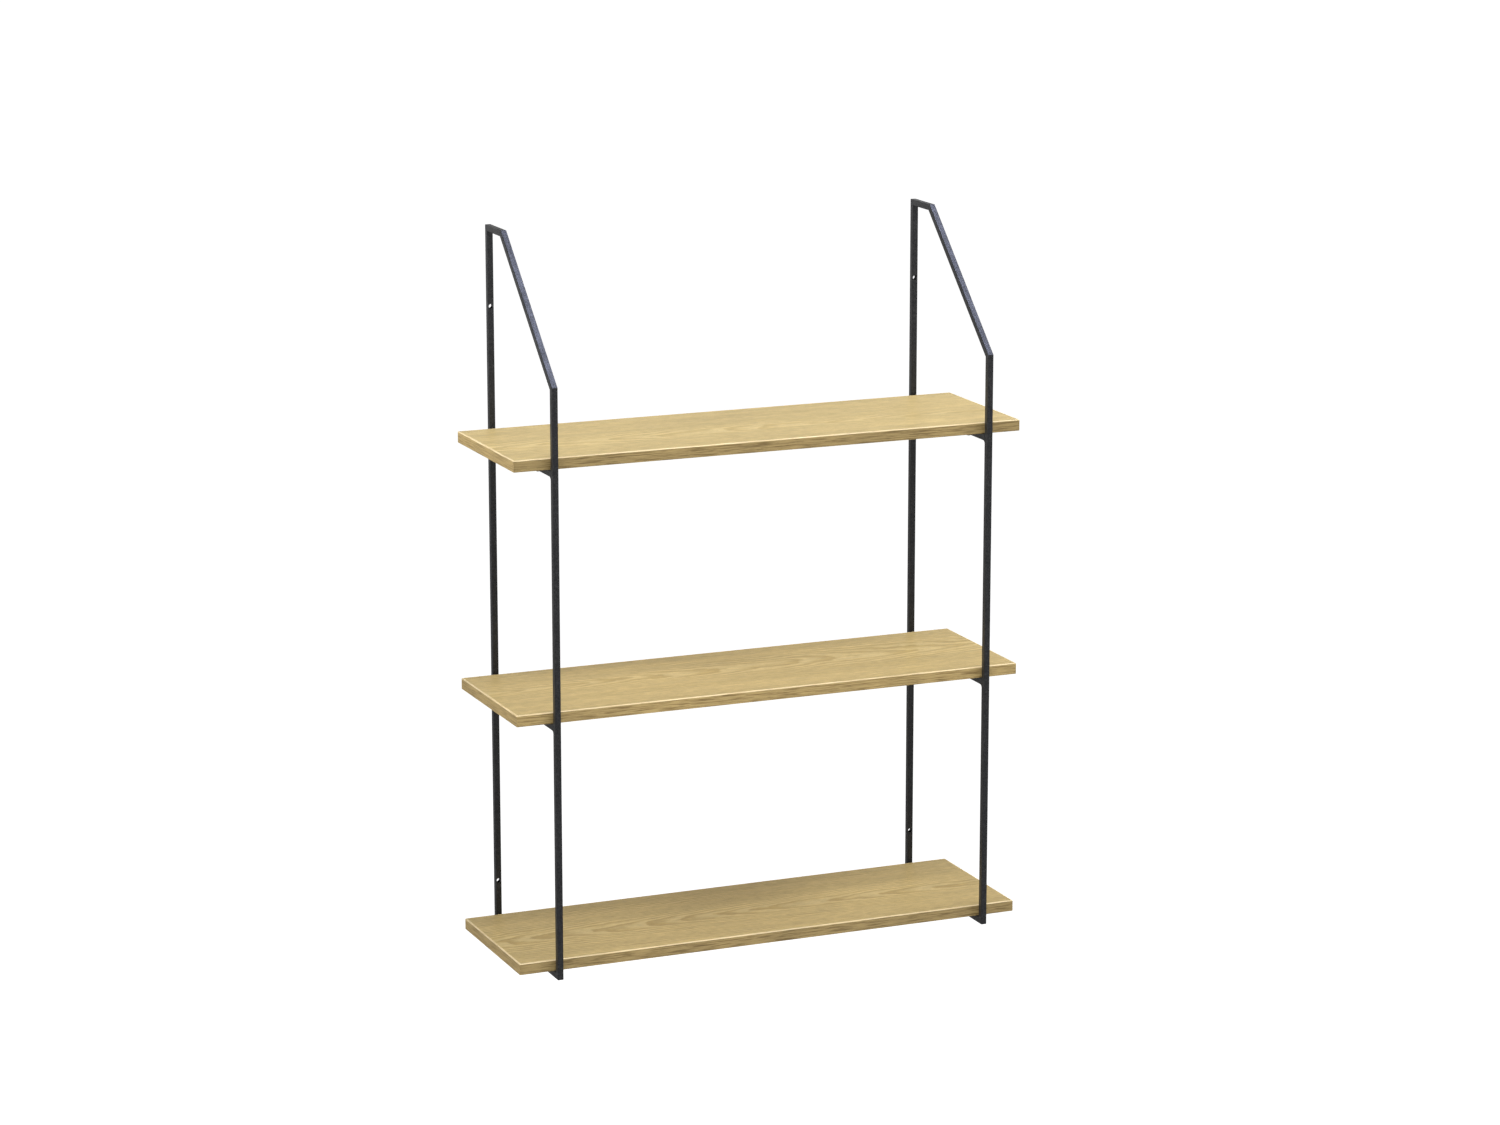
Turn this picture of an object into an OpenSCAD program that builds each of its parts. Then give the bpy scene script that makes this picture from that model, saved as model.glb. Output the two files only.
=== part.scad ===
// Wall shelf: two welded side frames of thin square tube carry three edge-banded boards.
// Each board is screwed down from below, through the crossbars of both frames.
// The origin is the centre of the four wall holes, on the wall plane.
// X runs along the boards, +Y points at the wall and +Z is up.

/* [Boards] */
// Length of each board, along the wall
board_len = 700; // [620:10:900]
// Depth of each board, from front to back
board_depth = 210; // [160:5:300]
// Thickness of each board
board_t = 15; // [12:0.5:25]
// Height from one board to the next
board_pitch = 327; // [240:1:400]
// Thickness of the edge banding
band_t = 2; // [1:0.5:3]
// Chamfer along the outer arrises of the edge banding
band_chamfer = 0.8; // [0.3:0.1:0.9]

/* [Side frames] */
// Distance between the two frames, centre to centre
frame_pitch = 600; // [400:10:680]
// Free gap between a board's edge and the post beside it
post_gap = 7; // [2:0.5:15]
// Height of the posts' upper end above the top board's upper face
top_rise = 263; // [200:1:340]
// Height of the front posts' upper corner above the top board's upper face
front_rise = 91; // [50:1:140]
// Length of the level bar at the top of each frame
top_bar_len = 59; // [30:1:90]

/* [Tube] */
// Outer width of the square tube
tube = 8; // [7:0.5:16]
// Wall thickness of the tube
tube_wall = 0.8; // [0.6:0.1:1]
// Radius of the tube's outer corners
tube_corner = 0.8; // [0.4:0.1:0.8]

/* [Wall holes] */
// Diameter of the wall holes, through both walls of the back posts
wall_hole_d = 6; // [3:0.1:6]
// Height of the lower wall holes above the bottom board's upper face
wall_hole_low = 44; // [20:1:100]
// Distance of the upper wall holes below the upper end of the posts
wall_hole_drop = 105; // [40:1:150]

/* [Board screws] */
// Distance of each screw from the nearer long edge of its board
screw_inset = 48; // [20:1:70]
// Diameter of the screw shank, which the hole in the board takes
screw_d = 4; // [3:0.1:4.5]
// Diameter of the holes through the crossbars
screw_hole_d = 4.6; // [4.6:0.1:5.2]
// Length of thread inside the board
screw_grip = 10; // [6:0.5:10.5]
// Diameter of the screw head
screw_head_d = 9; // [7:0.1:10]
// Height of the screw head
screw_head_h = 3.2; // [2:0.1:4]

/* [Hidden] */
$fn = 48;
// How far a cut runs past the face that it leaves through
overrun = 1;

SIDES = ["left", "right"];
LEVELS = ["bottom", "middle", "top"];
TUBES = ["bottom_bar", "front_post", "sloping_bar", "top_bar", "back_post"];

frame_depth = board_depth + 2 * post_gap + 2 * tube;
frame_height = tube + board_t + 2 * board_pitch + top_rise;
front_post_h = frame_height - top_rise + front_rise;

// Heights above the frame's lower end, moved down by wall_centre in the model
wall_hole_z = [tube + board_t + wall_hole_low, frame_height - wall_hole_drop];
wall_centre = (wall_hole_z[0] + wall_hole_z[1]) / 2;

wood = "burlywood";
steel = [0.13, 0.13, 0.14];
screw_black = [0.06, 0.06, 0.06];

// Outer outline of a side frame in the YZ plane, one corner per tube, from the lower wall corner
outline = [
    [0, -wall_centre],
    [-frame_depth, -wall_centre],
    [-frame_depth, front_post_h - wall_centre],
    [-top_bar_len, frame_height - wall_centre],
    [0, frame_height - wall_centre],
];

function side_x(side) = (side == "left" ? -1 : 1) * frame_pitch / 2;
function level_index(level) = search([level], LEVELS)[0];
function underside_z(level) = tube + level_index(level) * board_pitch - wall_centre;
function screw_rows() = [-tube - post_gap - screw_inset, -frame_depth + tube + post_gap + screw_inset];

function corner(i) = outline[(i + len(outline)) % len(outline)];
function direction(i) = (corner(i + 1) - corner(i)) / norm(corner(i + 1) - corner(i));
function inward(i) = [direction(i)[1], -direction(i)[0]];

// Corner i of the outline moved inwards by d, along the mitre of the two tubes that meet there
function mitre_point(i, d) =
    corner(i) + (inward(i - 1) + inward(i)) * d / (1 + inward(i - 1) * inward(i));

// Section of the square tube, centred on its axis
module tube_section() {
    difference() {
        union() {
            square([tube, tube - 2 * tube_corner], center = true);
            square([tube - 2 * tube_corner, tube], center = true);
            for (x = [-1, 1], y = [-1, 1])
                translate([x, y] * (tube / 2 - tube_corner)) circle(tube_corner);
        }
        square(tube - 2 * tube_wall, center = true);
    }
}

// A length of tube along +Z from the origin
module tube_length(length) {
    linear_extrude(length) tube_section();
}

// Draws a YZ outline as a slab across the frame, wider than the tube
module across_frame() {
    rotate([90, 0, 90]) linear_extrude(tube + 2 * overrun, center = true) children();
}

// Tube i of the outline, cut to the mitre at both ends
module outline_tube(i) {
    start = mitre_point(i, tube / 2);
    run = mitre_point(i + 1, tube / 2) - start;
    tilt = atan2(run[0], run[1]);
    spare = 3 * tube;
    intersection() {
        translate([0, start[0], start[1]]) rotate([-tilt, 0, 0])
            translate([0, 0, -spare]) tube_length(norm(run) + 2 * spare);
        across_frame() polygon([
            mitre_point(i, -overrun), mitre_point(i + 1, -overrun),
            mitre_point(i + 1, tube + overrun), mitre_point(i, tube + overrun),
        ]);
    }
}

// Holes for the board screws, straight up through a crossbar whose upper face is at height z
module crossbar_screw_holes(z) {
    for (y = screw_rows())
        translate([0, y, z - tube - overrun]) cylinder(d = screw_hole_d, h = tube + 2 * overrun);
}

module back_post(side) {
    color(steel) translate([side_x(side), 0, 0]) difference() {
        outline_tube(4);
        for (z = wall_hole_z)
            translate([0, overrun, z - wall_centre]) rotate([90, 0, 0])
                cylinder(d = wall_hole_d, h = tube + 2 * overrun);
    }
}

module top_bar(side) {
    color(steel) translate([side_x(side), 0, 0]) outline_tube(3);
}

module sloping_bar(side) {
    color(steel) translate([side_x(side), 0, 0]) outline_tube(2);
}

module front_post(side) {
    color(steel) translate([side_x(side), 0, 0]) outline_tube(1);
}

// The frame's lower end, which is also the bottom board's crossbar
module bottom_bar(side) {
    color(steel) translate([side_x(side), 0, 0]) difference() {
        outline_tube(0);
        crossbar_screw_holes(underside_z("bottom"));
    }
}

// A crossbar welded between the front post and the back post, under a board
module crossbar(side, level) {
    color(steel) translate([side_x(side), 0, 0]) difference() {
        translate([0, -tube, underside_z(level) - tube / 2]) rotate([90, 0, 0])
            tube_length(frame_depth - 2 * tube);
        crossbar_screw_holes(underside_z(level));
    }
}

// Moves a piece drawn about a board's centre, on its underside, to that board's place
module at_board(level) {
    translate([0, -frame_depth / 2, underside_z(level)]) children();
}

// The panel inside the edge banding, with a blind hole for each screw
module board(level) {
    color(wood) difference() {
        at_board(level) translate([-board_len / 2 + band_t, -board_depth / 2 + band_t, 0])
            cube([board_len - 2 * band_t, board_depth - 2 * band_t, board_t]);
        for (side = SIDES, y = screw_rows())
            translate([side_x(side), y, underside_z(level) - overrun])
                cylinder(d = screw_d, h = screw_grip + overrun);
    }
}

// A strip of edge banding along X, its outer face at -Y and its ends mitred
module band(length, offset) {
    c = band_chamfer;
    translate([0, -offset, 0]) intersection() {
        rotate([90, 0, 90]) linear_extrude(length, center = true) polygon([
            [c, 0], [band_t, 0], [band_t, board_t], [c, board_t], [0, board_t - c], [0, c],
        ]);
        translate([0, 0, -overrun]) linear_extrude(board_t + 2 * overrun) polygon([
            [-length / 2, 0], [length / 2, 0],
            [length / 2 - band_t - overrun, band_t + overrun],
            [-length / 2 + band_t + overrun, band_t + overrun],
        ]);
    }
}

module front_band(level) {
    color(wood) at_board(level) band(board_len, board_depth / 2);
}

module back_band(level) {
    color(wood) at_board(level) rotate([0, 0, 180]) band(board_len, board_depth / 2);
}

module left_band(level) {
    color(wood) at_board(level) rotate([0, 0, -90]) band(board_depth, board_len / 2);
}

module right_band(level) {
    color(wood) at_board(level) rotate([0, 0, 90]) band(board_depth, board_len / 2);
}

// A pan-head screw pointing up, the underside of its head at the origin
module board_screw() {
    head_r = screw_head_d / 2;
    rim = screw_head_h / 3;
    dome_r = (head_r * head_r + pow(screw_head_h - rim, 2)) / (2 * (screw_head_h - rim));
    difference() {
        union() {
            cylinder(d = screw_d, h = tube + screw_grip);
            translate([0, 0, -rim]) cylinder(r = head_r, h = rim);
            intersection() {
                translate([0, 0, -screw_head_h]) cylinder(r = head_r, h = screw_head_h - rim);
                translate([0, 0, dome_r - screw_head_h]) sphere(dome_r);
            }
        }
        for (turn = [0, 90])
            rotate([0, 0, turn]) translate([-head_r / 2, -0.5, -screw_head_h - overrun])
                cube([head_r, 1, screw_head_h / 2 + overrun]);
    }
}

// The four screws that hold one board
module board_screws(level) {
    color(screw_black) for (side = SIDES, y = screw_rows())
        translate([side_x(side), y, underside_z(level) - tube]) board_screw();
}

back_post("left");  // left_back_post
top_bar("left");  // left_top_bar
sloping_bar("left");  // left_sloping_bar
front_post("left");  // left_front_post
bottom_bar("left");  // left_bottom_bar
crossbar("left", "middle");  // left_middle_crossbar
crossbar("left", "top");  // left_top_crossbar
back_post("right");  // right_back_post
top_bar("right");  // right_top_bar
sloping_bar("right");  // right_sloping_bar
front_post("right");  // right_front_post
bottom_bar("right");  // right_bottom_bar
crossbar("right", "middle");  // right_middle_crossbar
crossbar("right", "top");  // right_top_crossbar
board("bottom");  // bottom_board
front_band("bottom");  // bottom_front_band
back_band("bottom");  // bottom_back_band
left_band("bottom");  // bottom_left_band
right_band("bottom");  // bottom_right_band
board_screws("bottom");  // bottom_board_screws
board("middle");  // middle_board
front_band("middle");  // middle_front_band
back_band("middle");  // middle_back_band
left_band("middle");  // middle_left_band
right_band("middle");  // middle_right_band
board_screws("middle");  // middle_board_screws
board("top");  // top_board
front_band("top");  // top_front_band
back_band("top");  // top_back_band
left_band("top");  // top_left_band
right_band("top");  // top_right_band
board_screws("top");  // top_board_screws
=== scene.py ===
"""Looks of the wall shelf: three oak-look boards on two side frames of black square tube.

Everything is in metres, in the CAD frame: +X along the boards, +Y into the wall, +Z up.
"""

import math

import bmesh
import bpy
from mathutils import Matrix, Vector


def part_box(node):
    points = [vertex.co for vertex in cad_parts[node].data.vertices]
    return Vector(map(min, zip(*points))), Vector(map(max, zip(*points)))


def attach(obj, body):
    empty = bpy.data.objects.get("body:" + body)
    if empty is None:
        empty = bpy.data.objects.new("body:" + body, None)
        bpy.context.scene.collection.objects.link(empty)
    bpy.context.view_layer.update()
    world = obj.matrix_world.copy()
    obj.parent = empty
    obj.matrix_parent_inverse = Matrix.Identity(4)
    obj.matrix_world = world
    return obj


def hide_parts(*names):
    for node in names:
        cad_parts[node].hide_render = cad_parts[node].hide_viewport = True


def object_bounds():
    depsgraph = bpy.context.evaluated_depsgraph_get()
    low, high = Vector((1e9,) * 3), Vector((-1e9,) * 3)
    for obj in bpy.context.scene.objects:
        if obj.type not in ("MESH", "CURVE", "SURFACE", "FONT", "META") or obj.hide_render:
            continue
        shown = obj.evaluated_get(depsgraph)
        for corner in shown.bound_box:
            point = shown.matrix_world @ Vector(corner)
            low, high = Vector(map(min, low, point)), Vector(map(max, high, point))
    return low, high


SIDES = ("left", "right")
LEVELS = ("bottom", "middle", "top")
CROSSBARS = ("bottom_bar", "middle_crossbar", "top_crossbar")
TUBES = ("back_post", "top_bar", "sloping_bar", "front_post") + CROSSBARS

# Width of the small rounds that break the sharp edges
TUBE_EDGE = 0.00018
PANEL_EDGE = 0.00012
SCREW_EDGE = 0.00015
SHARP_ANGLE = math.radians(50)
FLAT_ANGLE = math.radians(0.5)
SMOOTH_ANGLE = math.radians(40)
# Facets narrower than this take the second material, and points closer than a sliver are merged
ARRIS_FACET = 0.0006
SAME_POINT = 0.000001
SLIVER = 0.00004
# Radius of the edge bands' upper and lower arris
TOP_ARRIS = 0.0012
LOW_ARRIS = 0.0008

# Oak figure: how close the growth rings lie, then for each board the depth of the pith under its face,
# the pith's place across it, the slant of the grain, the strength of the figure and how pale the face is
# That paleness is painted light and shade: the top board's face painted paler, the lower boards' darker
# as if shaded from above
RING_SCALE = 74.0
OAK_FACES = {
    "bottom": (0.034, -0.012, 0.055, 1.00, 0.965),
    "middle": (0.040, 0.018, -0.048, 0.88, 0.955),
    "top": (0.030, -0.022, 0.060, 0.72, 1.010),
}
# Painted light and shade on each level's edge bands: the middle edges painted paler, the top and bottom
# ones darker
EDGE_PAINTED_LIGHT = {"bottom": 0.93, "middle": 1.15, "top": 0.88}

# Linear colours
OAK_PALE = (0.590, 0.460, 0.218)
OAK_WARM = (0.440, 0.320, 0.127)
LONG_EDGE_PALE = (0.345, 0.250, 0.100)
LONG_EDGE_DARK = (0.180, 0.120, 0.042)
SHORT_EDGE_PALE = (0.385, 0.276, 0.110)
SHORT_EDGE_DARK = (0.258, 0.178, 0.065)
# The bands' top and upper arris are painted far paler than the oak: a painted highlight along the edge
ARRIS_HIGHLIGHT_PALE = (0.76, 0.62, 0.37)
ARRIS_HIGHLIGHT_DARK = (0.66, 0.51, 0.27)
COAT_BLACK = (0.0160, 0.0159, 0.0163)
# Paler coat on the tubes' narrow arris facets: partly wear, partly a painted highlight along the edges
COAT_WEAR_AND_HIGHLIGHT = (0.0240, 0.0237, 0.0238)
COAT_TINT = (0.87, 0.91, 1.0)
OXIDE_BLACK = (0.020, 0.020, 0.021)
FLOOR_PALE = (0.60, 0.60, 0.60)
WHITE = (1.0, 1.0, 1.0)
COAT_ROUGH = 0.38
COAT_WORN_ROUGH = 0.32

# Welds above and below the crossbars' ends: leg along the post, how much longer it is along the bar,
# how deep the root sits in the tubes, gap to the tube's sides, and the shape of bead and taper
WELD_LEG = 0.0040
WELD_REACH = 1.4
WELD_ROOT = 0.0002
WELD_INSET = 0.0001
WELD_END = 0.75
WELD_TAPER = 0.15
WELD_RIPPLE = 0.10
WELD_WAVES = 7
WELD_ROWS = 42
WELD_ARC = 8

# Camera, about the middle of the object
LENS_MM = 102.6
CAMERA_AZIMUTH = math.radians(-22.98)
CAMERA_ELEVATION = math.radians(12.83)
CAMERA_DISTANCE = 5.575
AIM_OFFSET = Vector((0.0132, 0.0, 0.0253))

# The shelf hangs this far above the floor
FLOOR_DROP = 0.8
FLOOR_SIZE = 80.0
FLOOR_GLOW = 0.90

# White studio wall: sine of elevation where it starts to fade to the ceiling and has faded,
# and where it has faded and starts to fade to the ground, which only reflections can see
BACKDROP_GLOW = 1.0
SKY_GLOW = 0.20
BACKDROP_TOP = 0.12
BACKDROP_FADE = 0.32
BACKDROP_FOOT = -0.16
BACKDROP_HORIZON = -0.08
UNDERFLOOR_GLOW = 0.25

# Softboxes: a wide one in front and above, one on each side, and a cool one for the upper bars' sheen
OVERHEAD_PLACE = (0.1, -1.9, 2.4)
OVERHEAD_SIZE = (3.6, 1.6)
OVERHEAD_GLOW = 4.9
FILL_DISTANCE = 1.3
FILL_Y = -0.3
FILL_HEIGHT = 1.0
FILL_SIZE = (1.2, 0.8)
FILLS = (("left_fill", -1, 5.5), ("right_fill", 1, 7.2))
SKYLIGHT_PLACE = (0.84, -0.38, 2.4)
SKYLIGHT_SIZE = (1.15, 0.50)
SKYLIGHT_GLOW = 28.0
SKYLIGHT_COLOUR = (0.71, 0.75, 1.0)
DOWN = (0, 0, -1)

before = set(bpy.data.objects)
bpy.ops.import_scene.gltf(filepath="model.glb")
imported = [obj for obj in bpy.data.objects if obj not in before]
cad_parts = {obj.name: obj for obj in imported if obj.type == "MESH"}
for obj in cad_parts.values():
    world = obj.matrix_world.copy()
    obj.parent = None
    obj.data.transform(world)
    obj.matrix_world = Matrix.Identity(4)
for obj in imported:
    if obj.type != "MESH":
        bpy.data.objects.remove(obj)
cad_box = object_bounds()


# ---------------------------------------------------------------- materials

def rgba(colour, painted_light_tone=1.0):
    """An opaque colour, made paler or darker by a tone of painted light and shade."""
    return tuple(channel * painted_light_tone for channel in colour) + (1.0,)


class Shader:
    """One material and its node tree, with short calls that add and link nodes."""

    def __init__(self, name):
        self.material = bpy.data.materials.new(name)
        self.material.use_nodes = True
        self.tree = self.material.node_tree
        self.surface = self.tree.nodes["Principled BSDF"]

    def feed(self, node, key, value):
        """Sets an input to a number or colour, or links it to another node's output."""
        if isinstance(value, bpy.types.NodeSocket):
            self.tree.links.new(value, node.inputs[key])
        else:
            node.inputs[key].default_value = value

    def add(self, kind, inputs, **settings):
        node = self.tree.nodes.new("ShaderNode" + kind)
        for key, value in settings.items():
            setattr(node, key, value)
        for key, value in inputs.items():
            self.feed(node, key, value)
        return node

    def place(self):
        return self.add("TexCoord", {}).outputs["Object"]

    def mapped(self, vector, scale=(1, 1, 1), turn=(0, 0, 0), shift=(0, 0, 0)):
        inputs = {"Vector": vector, "Scale": scale, "Rotation": turn, "Location": shift}
        return self.add("Mapping", inputs).outputs["Vector"]

    def noise(self, vector, scale=1.0, detail=2.0, roughness=0.5, output="Fac"):
        inputs = {"Vector": vector, "Scale": scale, "Detail": detail, "Roughness": roughness}
        return self.add("TexNoise", inputs).outputs[output]

    def warped(self, vector, by, amount):
        """The vector, moved by a colour noise of the given amount."""
        centred = self.add("VectorMath", {0: by, 1: (0.5, 0.5, 0.5)}, operation="SUBTRACT")
        sized = self.add("VectorMath", {0: centred.outputs[0], 1: amount}, operation="MULTIPLY")
        moved = self.add("VectorMath", {0: vector, 1: sized.outputs[0]}, operation="ADD")
        return moved.outputs[0]

    def fit(self, value, low, high, to_low, to_high):
        """Maps a number from one range smoothly to another."""
        inputs = {"Value": value, "From Min": low, "From Max": high, "To Min": to_low, "To Max": to_high}
        return self.add("MapRange", inputs, interpolation_type="SMOOTHSTEP").outputs["Result"]

    def mix(self, factor, first, second, blend="MIX"):
        node = self.add("Mix", {0: factor, 6: first, 7: second}, data_type="RGBA", blend_type=blend)
        return node.outputs[2]

    def shade(self, colour, value):
        """The colour times a number."""
        grey = self.add("CombineColor", {"Red": value, "Green": value, "Blue": value})
        return self.mix(1.0, colour, grey.outputs["Color"], "MULTIPLY")

    def math(self, operation, first, second):
        return self.add("Math", {0: first, 1: second}, operation=operation).outputs[0]

    def bump(self, height, distance, strength):
        inputs = {"Height": height, "Distance": distance, "Strength": strength}
        self.feed(self.surface, "Normal", self.add("Bump", inputs).outputs["Normal"])

    def finish(self, colour, roughness):
        self.feed(self.surface, "Base Color", colour)
        self.feed(self.surface, "Roughness", roughness)
        return self.material


def powder_coat(name, black, rough):
    """Black powder coat: a fine grain that breaks up the highlights, and a slow change of sheen."""
    s = Shader(name)
    place = s.place()
    grain = s.noise(place, scale=620.0, detail=4.0, roughness=0.7)
    peel = s.noise(place, scale=430.0, detail=3.0, roughness=0.6)
    cloud = s.noise(place, scale=45.0, detail=2.0)
    colour = s.shade(rgba(black), s.fit(grain, 0.33, 0.67, 0.55, 1.55))
    colour = s.shade(colour, s.fit(peel, 0.36, 0.64, 0.72, 1.34))
    colour = s.shade(colour, s.fit(cloud, 0.30, 0.70, 0.92, 1.08))
    s.surface.inputs["Specular IOR Level"].default_value = 0.30
    s.surface.inputs["Specular Tint"].default_value = rgba(COAT_TINT)
    s.bump(grain, 0.00015, 0.5)
    dull = s.fit(grain, 0.35, 0.65, 1.08, 0.92)
    sheen = s.fit(cloud, 0.3, 0.7, rough + 0.04, rough - 0.04)
    return s.finish(colour, s.math("MULTIPLY", dull, sheen))


def black_oxide():
    """The screws: thin black oxide over steel, a little smoother than the frame."""
    s = Shader("black_oxide")
    place = s.place()
    turned = s.noise(s.mapped(place, scale=(1, 1, 6)), scale=700.0, detail=2.0)
    colour = s.shade(rgba(OXIDE_BLACK), s.fit(turned, 0.3, 0.7, 0.7, 1.3))
    s.surface.inputs["Metallic"].default_value = 0.35
    s.bump(turned, 0.00004, 0.4)
    return s.finish(colour, s.fit(turned, 0.3, 0.7, 0.34, 0.46))


def fibres(s, place, along):
    """Long fine fibre along one axis, 0 to 1."""
    scale = [650.0, 650.0, 650.0]
    scale[along] = 14.0
    return s.noise(s.mapped(place, scale=scale), detail=3.0, roughness=0.65)


def pores(s, place, along):
    """Short dark pores along one axis: 0 in a pore, 1 beside it."""
    scale = [2100.0, 2100.0, 2100.0]
    scale[along] = 110.0
    dash = s.noise(s.mapped(place, scale=scale), detail=1.0)
    return s.fit(dash, 0.30, 0.42, 0.0, 1.0)


def oak_face(level):
    """Flat-sawn oak on a board: rings cut at a slant make the arches of its figure."""
    s = Shader(f"oak_face_{level}")
    low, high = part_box(f"{level}_board")
    middle_y = (low[1] + high[1]) / 2
    index = LEVELS.index(level)
    pith_depth, pith_across, slant, figure, painted_light_tone = OAK_FACES[level]

    place = s.place()
    shift = (3.1 * index, 0, 0)
    sway = s.noise(s.mapped(place, scale=(2.4, 9, 9), shift=shift), detail=3.0, output="Color")
    shift = (0.7 * index, 0, 0)
    ripple = s.noise(s.mapped(place, scale=(13, 34, 34), shift=shift), detail=2.0, output="Color")
    bent = s.warped(s.warped(place, sway, (0.0, 0.036, 0.020)), ripple, (0.0, 0.012, 0.007))
    shift = (0, -middle_y - pith_across, pith_depth - high[2])
    log = s.mapped(bent, turn=(0, slant, 0), shift=shift)
    inputs = {"Vector": log, "Scale": RING_SCALE, "Distortion": 1.2, "Detail": 3.0, "Detail Scale": 1.2}
    settings = {"wave_type": "RINGS", "rings_direction": "X", "wave_profile": "SAW"}
    rings = s.add("TexWave", inputs, **settings).outputs["Fac"]
    latewood = s.math("MULTIPLY", s.fit(rings, 0.15, 0.80, 0.0, 1.0), s.fit(rings, 0.86, 1.0, 1.0, 0.0))

    fibre = fibres(s, place, 0)
    pore = pores(s, place, 0)
    fleck = s.noise(s.mapped(place, scale=(55, 210, 210)), detail=3.0, roughness=0.7)
    streak = s.noise(s.mapped(place, scale=(1.6, 42, 42), shift=(1.7 * index, 0, 0)), detail=3.0)
    cloud = s.noise(s.mapped(place, scale=(3, 9, 9), shift=(5.3 * index, 0, 0)), detail=2.0)

    strength = s.math("MULTIPLY", latewood, figure)
    # The tone paints light and shade: the top board paler, the boards below it darker
    colour = s.mix(strength, rgba(OAK_PALE, painted_light_tone), rgba(OAK_WARM, painted_light_tone))
    colour = s.shade(colour, s.fit(streak, 0.30, 0.70, 0.93, 1.05))
    colour = s.shade(colour, s.fit(cloud, 0.30, 0.70, 0.95, 1.04))
    colour = s.shade(colour, s.fit(fleck, 0.30, 0.70, 0.88, 1.09))
    colour = s.shade(colour, s.fit(fibre, 0.30, 0.70, 0.93, 1.05))
    colour = s.shade(colour, s.fit(pore, 0.0, 1.0, 0.76, 1.0))
    s.surface.inputs["Specular IOR Level"].default_value = 0.20
    s.bump(s.math("ADD", s.math("MULTIPLY", pore, 0.6), fibre), 0.00006, 0.35)
    return s.finish(colour, s.fit(fibre, 0.3, 0.7, 0.40, 0.52))


def oak_edge(name, along, pale, dark, painted_light_tone=1.0):
    """Edge banding: straight streaks along the strip, between a pale and a dark colour, with a tone of
    painted light and shade.
    """
    s = Shader(name)
    place = s.place()
    across, lengthwise = 760.0, 26.0
    scale = [across, across, across]
    scale[along] = lengthwise
    streak = s.noise(s.mapped(place, scale=scale), detail=3.0, roughness=0.6)
    fibre = fibres(s, place, along)
    pore = pores(s, place, along)
    cloud = s.noise(place, scale=14.0, detail=2.0)
    colour = s.mix(s.fit(streak, 0.38, 0.55, 0.0, 1.0), rgba(dark, painted_light_tone), rgba(pale, painted_light_tone))
    colour = s.shade(colour, s.fit(cloud, 0.3, 0.7, 0.92, 1.06))
    colour = s.shade(colour, s.fit(fibre, 0.3, 0.7, 0.92, 1.05))
    colour = s.shade(colour, s.fit(pore, 0.0, 1.0, 0.78, 1.0))
    s.surface.inputs["Specular IOR Level"].default_value = 0.35
    s.bump(fibre, 0.00005, 0.35)
    return s.finish(colour, s.fit(fibre, 0.3, 0.7, 0.42, 0.56))


def pale_floor():
    s = Shader("pale_floor")
    cloud = s.noise(s.place(), scale=0.6, detail=2.0)
    colour = s.shade(rgba(FLOOR_PALE), s.fit(cloud, 0.3, 0.7, 0.995, 1.005))
    s.surface.inputs["Specular IOR Level"].default_value = 0.0
    s.surface.inputs["Emission Color"].default_value = rgba(WHITE)
    s.surface.inputs["Emission Strength"].default_value = FLOOR_GLOW
    return s.finish(colour, 1.0)


# ---------------------------------------------------------------- pieces

def add_piece(name, mesh, node, materials):
    """Links a finished mesh as a piece that rides on the one body and stands for a CAD node."""
    piece = bpy.data.objects.new(name, mesh)
    bpy.context.scene.collection.objects.link(piece)
    for material in materials:
        mesh.materials.append(material)
    mesh.polygons.foreach_set("use_smooth", [True] * len(mesh.polygons))
    mesh.set_sharp_from_angle(angle=SMOOTH_ANGLE)
    even = piece.modifiers.new("flat_faces_stay_flat", "WEIGHTED_NORMAL")
    even.weight = 100
    even.keep_sharp = True
    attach(piece, "root")
    if node:
        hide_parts(node)
    return piece


def softened(node, width):
    """A copy of a CAD node's mesh with its sharp edges broken by a small round."""
    bm = bmesh.new()
    bm.from_mesh(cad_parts[node].data)
    bmesh.ops.remove_doubles(bm, verts=bm.verts, dist=SAME_POINT)
    bmesh.ops.dissolve_limit(bm, angle_limit=FLAT_ANGLE, verts=bm.verts, edges=bm.edges)
    paired = [edge for edge in bm.edges if len(edge.link_faces) == 2]
    sharp = [edge for edge in paired if edge.calc_face_angle() > SHARP_ANGLE]
    settings = {"segments": 2, "profile": 0.5, "affect": "EDGES", "clamp_overlap": True}
    bmesh.ops.bevel(bm, geom=sharp, offset=width, **settings)
    bmesh.ops.remove_doubles(bm, verts=bm.verts, dist=SLIVER)
    bmesh.ops.dissolve_degenerate(bm, dist=SLIVER, edges=bm.edges)
    for face in bm.faces:
        longest = max(edge.calc_length() for edge in face.edges)
        # Narrow arris facets take the second material; on the tubes that is a paler coat, partly wear and
        # partly a painted highlight
        if face.calc_area() / longest < ARRIS_FACET:
            face.material_index = 1
    mesh = bpy.data.meshes.new(node + "_soft")
    bm.to_mesh(mesh)
    bm.free()
    mesh.materials.clear()
    return mesh


def arris(radius, height, side, steps=5):
    """Points (inward, up) round an outer arris, from the flat face to the outer face."""
    points = []
    for i in range(steps + 1):
        angle = math.pi / 2 * i / steps
        inward = radius * (1 - math.sin(angle))
        points.append((inward, side * (height - radius * (1 - math.cos(angle)))))
    return points


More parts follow.
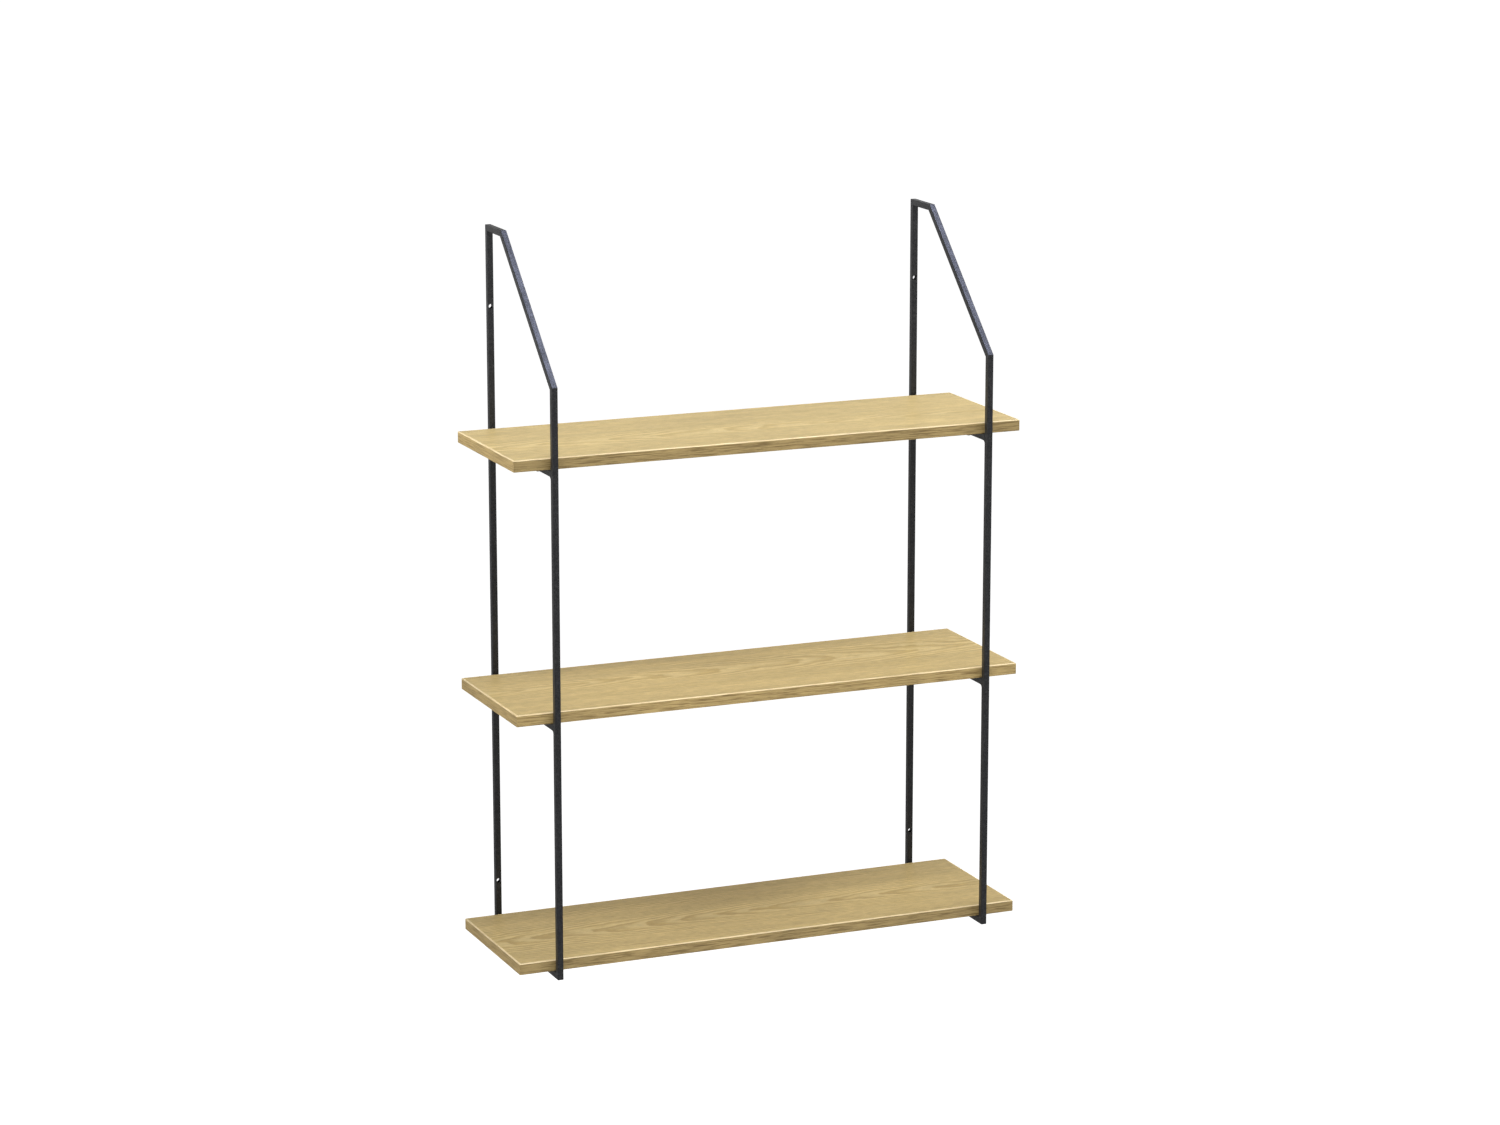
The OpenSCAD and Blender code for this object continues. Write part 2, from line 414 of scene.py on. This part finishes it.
def band_mesh(name, length, thickness, depth):
    """A strip of edge banding along X, outer face at y = 0, mitred ends, and a top and upper arris in the
    second material, a painted highlight.
    """
    upper = arris(TOP_ARRIS, thickness / 2, 1)
    lower = arris(LOW_ARRIS, thickness / 2, -1)
    section = [(depth, thickness / 2)] + upper + lower[::-1] + [(depth, -thickness / 2)]
    bm = bmesh.new()
    ends = []
    for sign in (-1, 1):
        ends.append([bm.verts.new((sign * (length / 2 - y), y, z)) for y, z in section])
    count = len(section)
    for i in range(count):
        j = (i + 1) % count
        face = bm.faces.new((ends[0][i], ends[0][j], ends[1][j], ends[1][i]))
        # The top and the upper arris take the painted highlight
        face.material_index = 1 if i < len(upper) else 0
    bm.faces.new(ends[0][::-1])
    bm.faces.new(ends[1])
    bmesh.ops.recalc_face_normals(bm, faces=bm.faces)
    mesh = bpy.data.meshes.new(name)
    bm.to_mesh(mesh)
    bm.free()
    return mesh


def add_band(level, edge, turn, materials):
    """Makes one band at the size of its CAD node, turned so that its outer face looks outwards."""
    node = f"{level}_{edge}_band"
    low, high = (Vector(corner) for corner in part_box(node))
    size = high - low
    along = 0 if edge in ("front", "back") else 1
    mesh = band_mesh(node + "_soft", size[along], size.z, size[1 - along])
    mesh.transform(Matrix.Translation((0, -size[1 - along] / 2, 0)))
    mesh.transform(Matrix.Translation((low + high) / 2) @ Matrix.Rotation(turn, 4, "Z"))
    add_piece(node + "_oak", mesh, node, materials)


def add_weld(side, bar, end, face):
    """A rippled concave weld where a crossbar's upper or lower face meets a post."""
    low, high = (Vector(corner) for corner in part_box(f"{side}_{bar}"))
    up = 1 if face == "upper" else -1
    inward = 1 if end == "front" else -1
    corner_y = (low.y if end == "front" else high.y) - inward * WELD_ROOT
    corner_z = (high.z if face == "upper" else low.z) - up * WELD_ROOT
    bm = bmesh.new()
    rows = []
    for i in range(WELD_ROWS + 1):
        across = i / WELD_ROWS
        x = low.x + WELD_INSET + (high.x - low.x - 2 * WELD_INSET) * across
        rise = math.sin(math.pi / 2 * min(across, 1 - across, WELD_TAPER) / WELD_TAPER)
        taper = WELD_END + (1 - WELD_END) * rise
        wave = 1 + WELD_RIPPLE * abs(math.sin(WELD_WAVES * math.pi * across))
        leg = WELD_ROOT + WELD_LEG * taper * wave
        row = [bm.verts.new((x, corner_y, corner_z))]
        for k in range(WELD_ARC + 1):
            angle = math.pi / 2 * k / WELD_ARC
            y = WELD_REACH * leg * (1 - math.sin(angle))
            z = leg * (1 - math.cos(angle))
            row.append(bm.verts.new((x, corner_y + inward * y, corner_z + up * z)))
        rows.append(row)
    count = len(rows[0])
    for here, there in zip(rows, rows[1:]):
        for k in range(count):
            m = (k + 1) % count
            bm.faces.new((here[k], here[m], there[m], there[k]))
    bm.faces.new(rows[0])
    bm.faces.new(rows[-1][::-1])
    bmesh.ops.recalc_face_normals(bm, faces=bm.faces)
    name = f"{side}_{bar}_{end}_{face}_weld"
    mesh = bpy.data.meshes.new(name)
    bm.to_mesh(mesh)
    bm.free()
    add_piece(name, mesh, None, [coat])


coat = powder_coat("powder_coat", COAT_BLACK, COAT_ROUGH)
# The arris coat is paler: wear and a painted highlight
wear_and_highlight_coat = powder_coat("powder_coat_arris", COAT_WEAR_AND_HIGHLIGHT, COAT_WORN_ROUGH)
oxide = black_oxide()
edge_y = oak_edge("oak_edge_short", 1, SHORT_EDGE_PALE, SHORT_EDGE_DARK)
# The arris materials paint a highlight along the bands' upper edge
highlight_arris_x = oak_edge("oak_arris_highlight_long", 0, ARRIS_HIGHLIGHT_PALE, ARRIS_HIGHLIGHT_DARK)
highlight_arris_y = oak_edge("oak_arris_highlight_short", 1, ARRIS_HIGHLIGHT_PALE, ARRIS_HIGHLIGHT_DARK)

for side in SIDES:
    for tube in TUBES:
        node = f"{side}_{tube}"
        add_piece(node + "_steel", softened(node, TUBE_EDGE), node, [coat, wear_and_highlight_coat])
    for bar in CROSSBARS[1:]:
        for end in ("front", "back"):
            for face in ("upper", "lower"):
                add_weld(side, bar, end, face)

for level in LEVELS:
    board = f"{level}_board"
    face = oak_face(level)
    add_piece(board + "_oak", softened(board, PANEL_EDGE), board, [face, face])
    # Each level's long edges carry their own painted light and shade
    edge_x = oak_edge(f"oak_edge_long_painted_light_{level}", 0, LONG_EDGE_PALE, LONG_EDGE_DARK, EDGE_PAINTED_LIGHT[level])
    add_band(level, "front", 0.0, [edge_x, highlight_arris_x])
    add_band(level, "back", math.pi, [edge_x, highlight_arris_x])
    add_band(level, "left", -math.pi / 2, [edge_y, highlight_arris_y])
    add_band(level, "right", math.pi / 2, [edge_y, highlight_arris_y])
    screws = f"{level}_board_screws"
    add_piece(screws + "_steel", softened(screws, SCREW_EDGE), screws, [oxide, oxide])


# ---------------------------------------------------------------- floor, light and camera

def add_floor():
    low, high = (Vector(corner) for corner in cad_box)
    bm = bmesh.new()
    bmesh.ops.create_grid(bm, x_segments=2, y_segments=2, size=FLOOR_SIZE / 2)
    mesh = bpy.data.meshes.new("floor")
    bm.to_mesh(mesh)
    bm.free()
    mesh.materials.append(pale_floor())
    floor = bpy.data.objects.new("floor", mesh)
    floor.location = ((low.x + high.x) / 2, (low.y + high.y) / 2, low.z - FLOOR_DROP)
    bpy.context.scene.collection.objects.link(floor)
    # The photographed steel reflects no white floor
    floor.visible_glossy = False


def add_backdrop():
    """A white studio wall all round, which fades to a dim ceiling and to a dim ground for reflections."""
    world = bpy.data.worlds.new("studio")
    world.use_nodes = True
    tree = world.node_tree
    place = tree.nodes.new("ShaderNodeTexCoord")
    split = tree.nodes.new("ShaderNodeSeparateXYZ")
    tree.links.new(place.outputs["Generated"], split.inputs[0])
    fades = (
        (BACKDROP_TOP, BACKDROP_FADE, BACKDROP_GLOW, SKY_GLOW),
        (BACKDROP_FOOT, BACKDROP_HORIZON, UNDERFLOOR_GLOW / BACKDROP_GLOW, 1.0),
    )
    strength = tree.nodes.new("ShaderNodeMath")
    strength.operation = "MULTIPLY"
    for number, (low, high, to_low, to_high) in enumerate(fades):
        fade = tree.nodes.new("ShaderNodeMapRange")
        fade.interpolation_type = "SMOOTHSTEP"
        fade.inputs["From Min"].default_value = low
        fade.inputs["From Max"].default_value = high
        fade.inputs["To Min"].default_value = to_low
        fade.inputs["To Max"].default_value = to_high
        tree.links.new(split.outputs["Z"], fade.inputs["Value"])
        tree.links.new(fade.outputs["Result"], strength.inputs[number])
    tree.links.new(strength.outputs[0], tree.nodes["Background"].inputs["Strength"])
    tree.nodes["Background"].inputs["Color"].default_value = rgba(WHITE)
    bpy.context.scene.world = world


def add_softbox(name, place, size, aim, radiance, colour=WHITE):
    """A plain rectangular soft light that looks along aim."""
    data = bpy.data.lights.new(name, "AREA")
    data.shape = "RECTANGLE"
    data.size, data.size_y = size
    data.energy = radiance * math.pi * size[0] * size[1]
    data.color = colour
    softbox = bpy.data.objects.new(name, data)
    softbox.location = place
    softbox.rotation_euler = Vector(aim).to_track_quat("-Z", "Y").to_euler()
    softbox.visible_camera = False
    bpy.context.scene.collection.objects.link(softbox)
    return softbox


def add_camera():
    low, high = (Vector(corner) for corner in cad_box)
    aim = (low + high) / 2 + AIM_OFFSET
    flat = math.cos(CAMERA_ELEVATION)
    back = Vector((
        math.sin(CAMERA_AZIMUTH) * flat,
        -math.cos(CAMERA_AZIMUTH) * flat,
        math.sin(CAMERA_ELEVATION),
    ))
    data = bpy.data.cameras.new("camera")
    data.lens = LENS_MM
    data.clip_end = 200.0
    camera = bpy.data.objects.new("camera", data)
    camera.location = aim + back * CAMERA_DISTANCE
    camera.rotation_euler = back.to_track_quat("Z", "Y").to_euler()
    bpy.context.scene.collection.objects.link(camera)
    bpy.context.scene.camera = camera


add_floor()
add_backdrop()
add_softbox("overhead", OVERHEAD_PLACE, OVERHEAD_SIZE, DOWN, OVERHEAD_GLOW)
# The skylight is seen in reflections only, and the two fills never are
skylight = add_softbox("skylight", SKYLIGHT_PLACE, SKYLIGHT_SIZE, DOWN, SKYLIGHT_GLOW, SKYLIGHT_COLOUR)
skylight.visible_diffuse = False
for name, side, glow in FILLS:
    place = (side * FILL_DISTANCE, FILL_Y, FILL_HEIGHT)
    fill = add_softbox(name, place, FILL_SIZE, (-side, 0, 0), glow)
    fill.visible_glossy = False
add_camera()
bpy.context.scene.view_settings.view_transform = "Standard"
